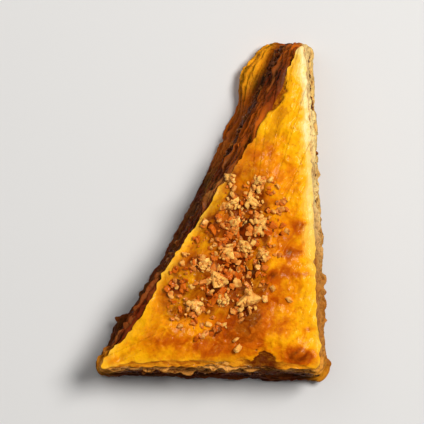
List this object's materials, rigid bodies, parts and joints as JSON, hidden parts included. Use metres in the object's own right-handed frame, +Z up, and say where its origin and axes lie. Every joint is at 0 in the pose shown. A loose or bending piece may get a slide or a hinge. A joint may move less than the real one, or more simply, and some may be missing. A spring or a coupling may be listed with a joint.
{
  "type": "baklava piece",
  "caption": "Right-triangular piece of layered baklava: flaky phyllo sheets over and under a ground-nut filling, with chopped nuts stuck in the syrup on its glazed top.",
  "frame": {"origin": "middle of the base's bounding box, on the surface the piece rests on", "axes": "+Z up through the layers, +Y from the short front side towards the thin tip, +X towards the long straight side that meets the front at the right angle"},
  "size_m": [0.0692, 0.102, 0.0268],
  "materials": {
    "soaked_phyllo": "syrup-soaked layered pastry, golden brown, slightly glossy sheet edges",
    "ground_nuts": "coarse ground nuts with spice and syrup, brown, crumbly",
    "golden_phyllo": "syrup-glazed flaky pastry, golden yellow to deep orange, with pale sheet edges",
    "chopped_nuts": "chopped nuts in syrup, light tan, glossy",
    "syrup": "thin amber sugar syrup, wet and clear"
  },
  "bodies": {
    "root": {"phyllo_bottom": "soaked_phyllo", "nut_filling": "ground_nuts", "phyllo_top": "golden_phyllo"}
  },
  "joints": []
}
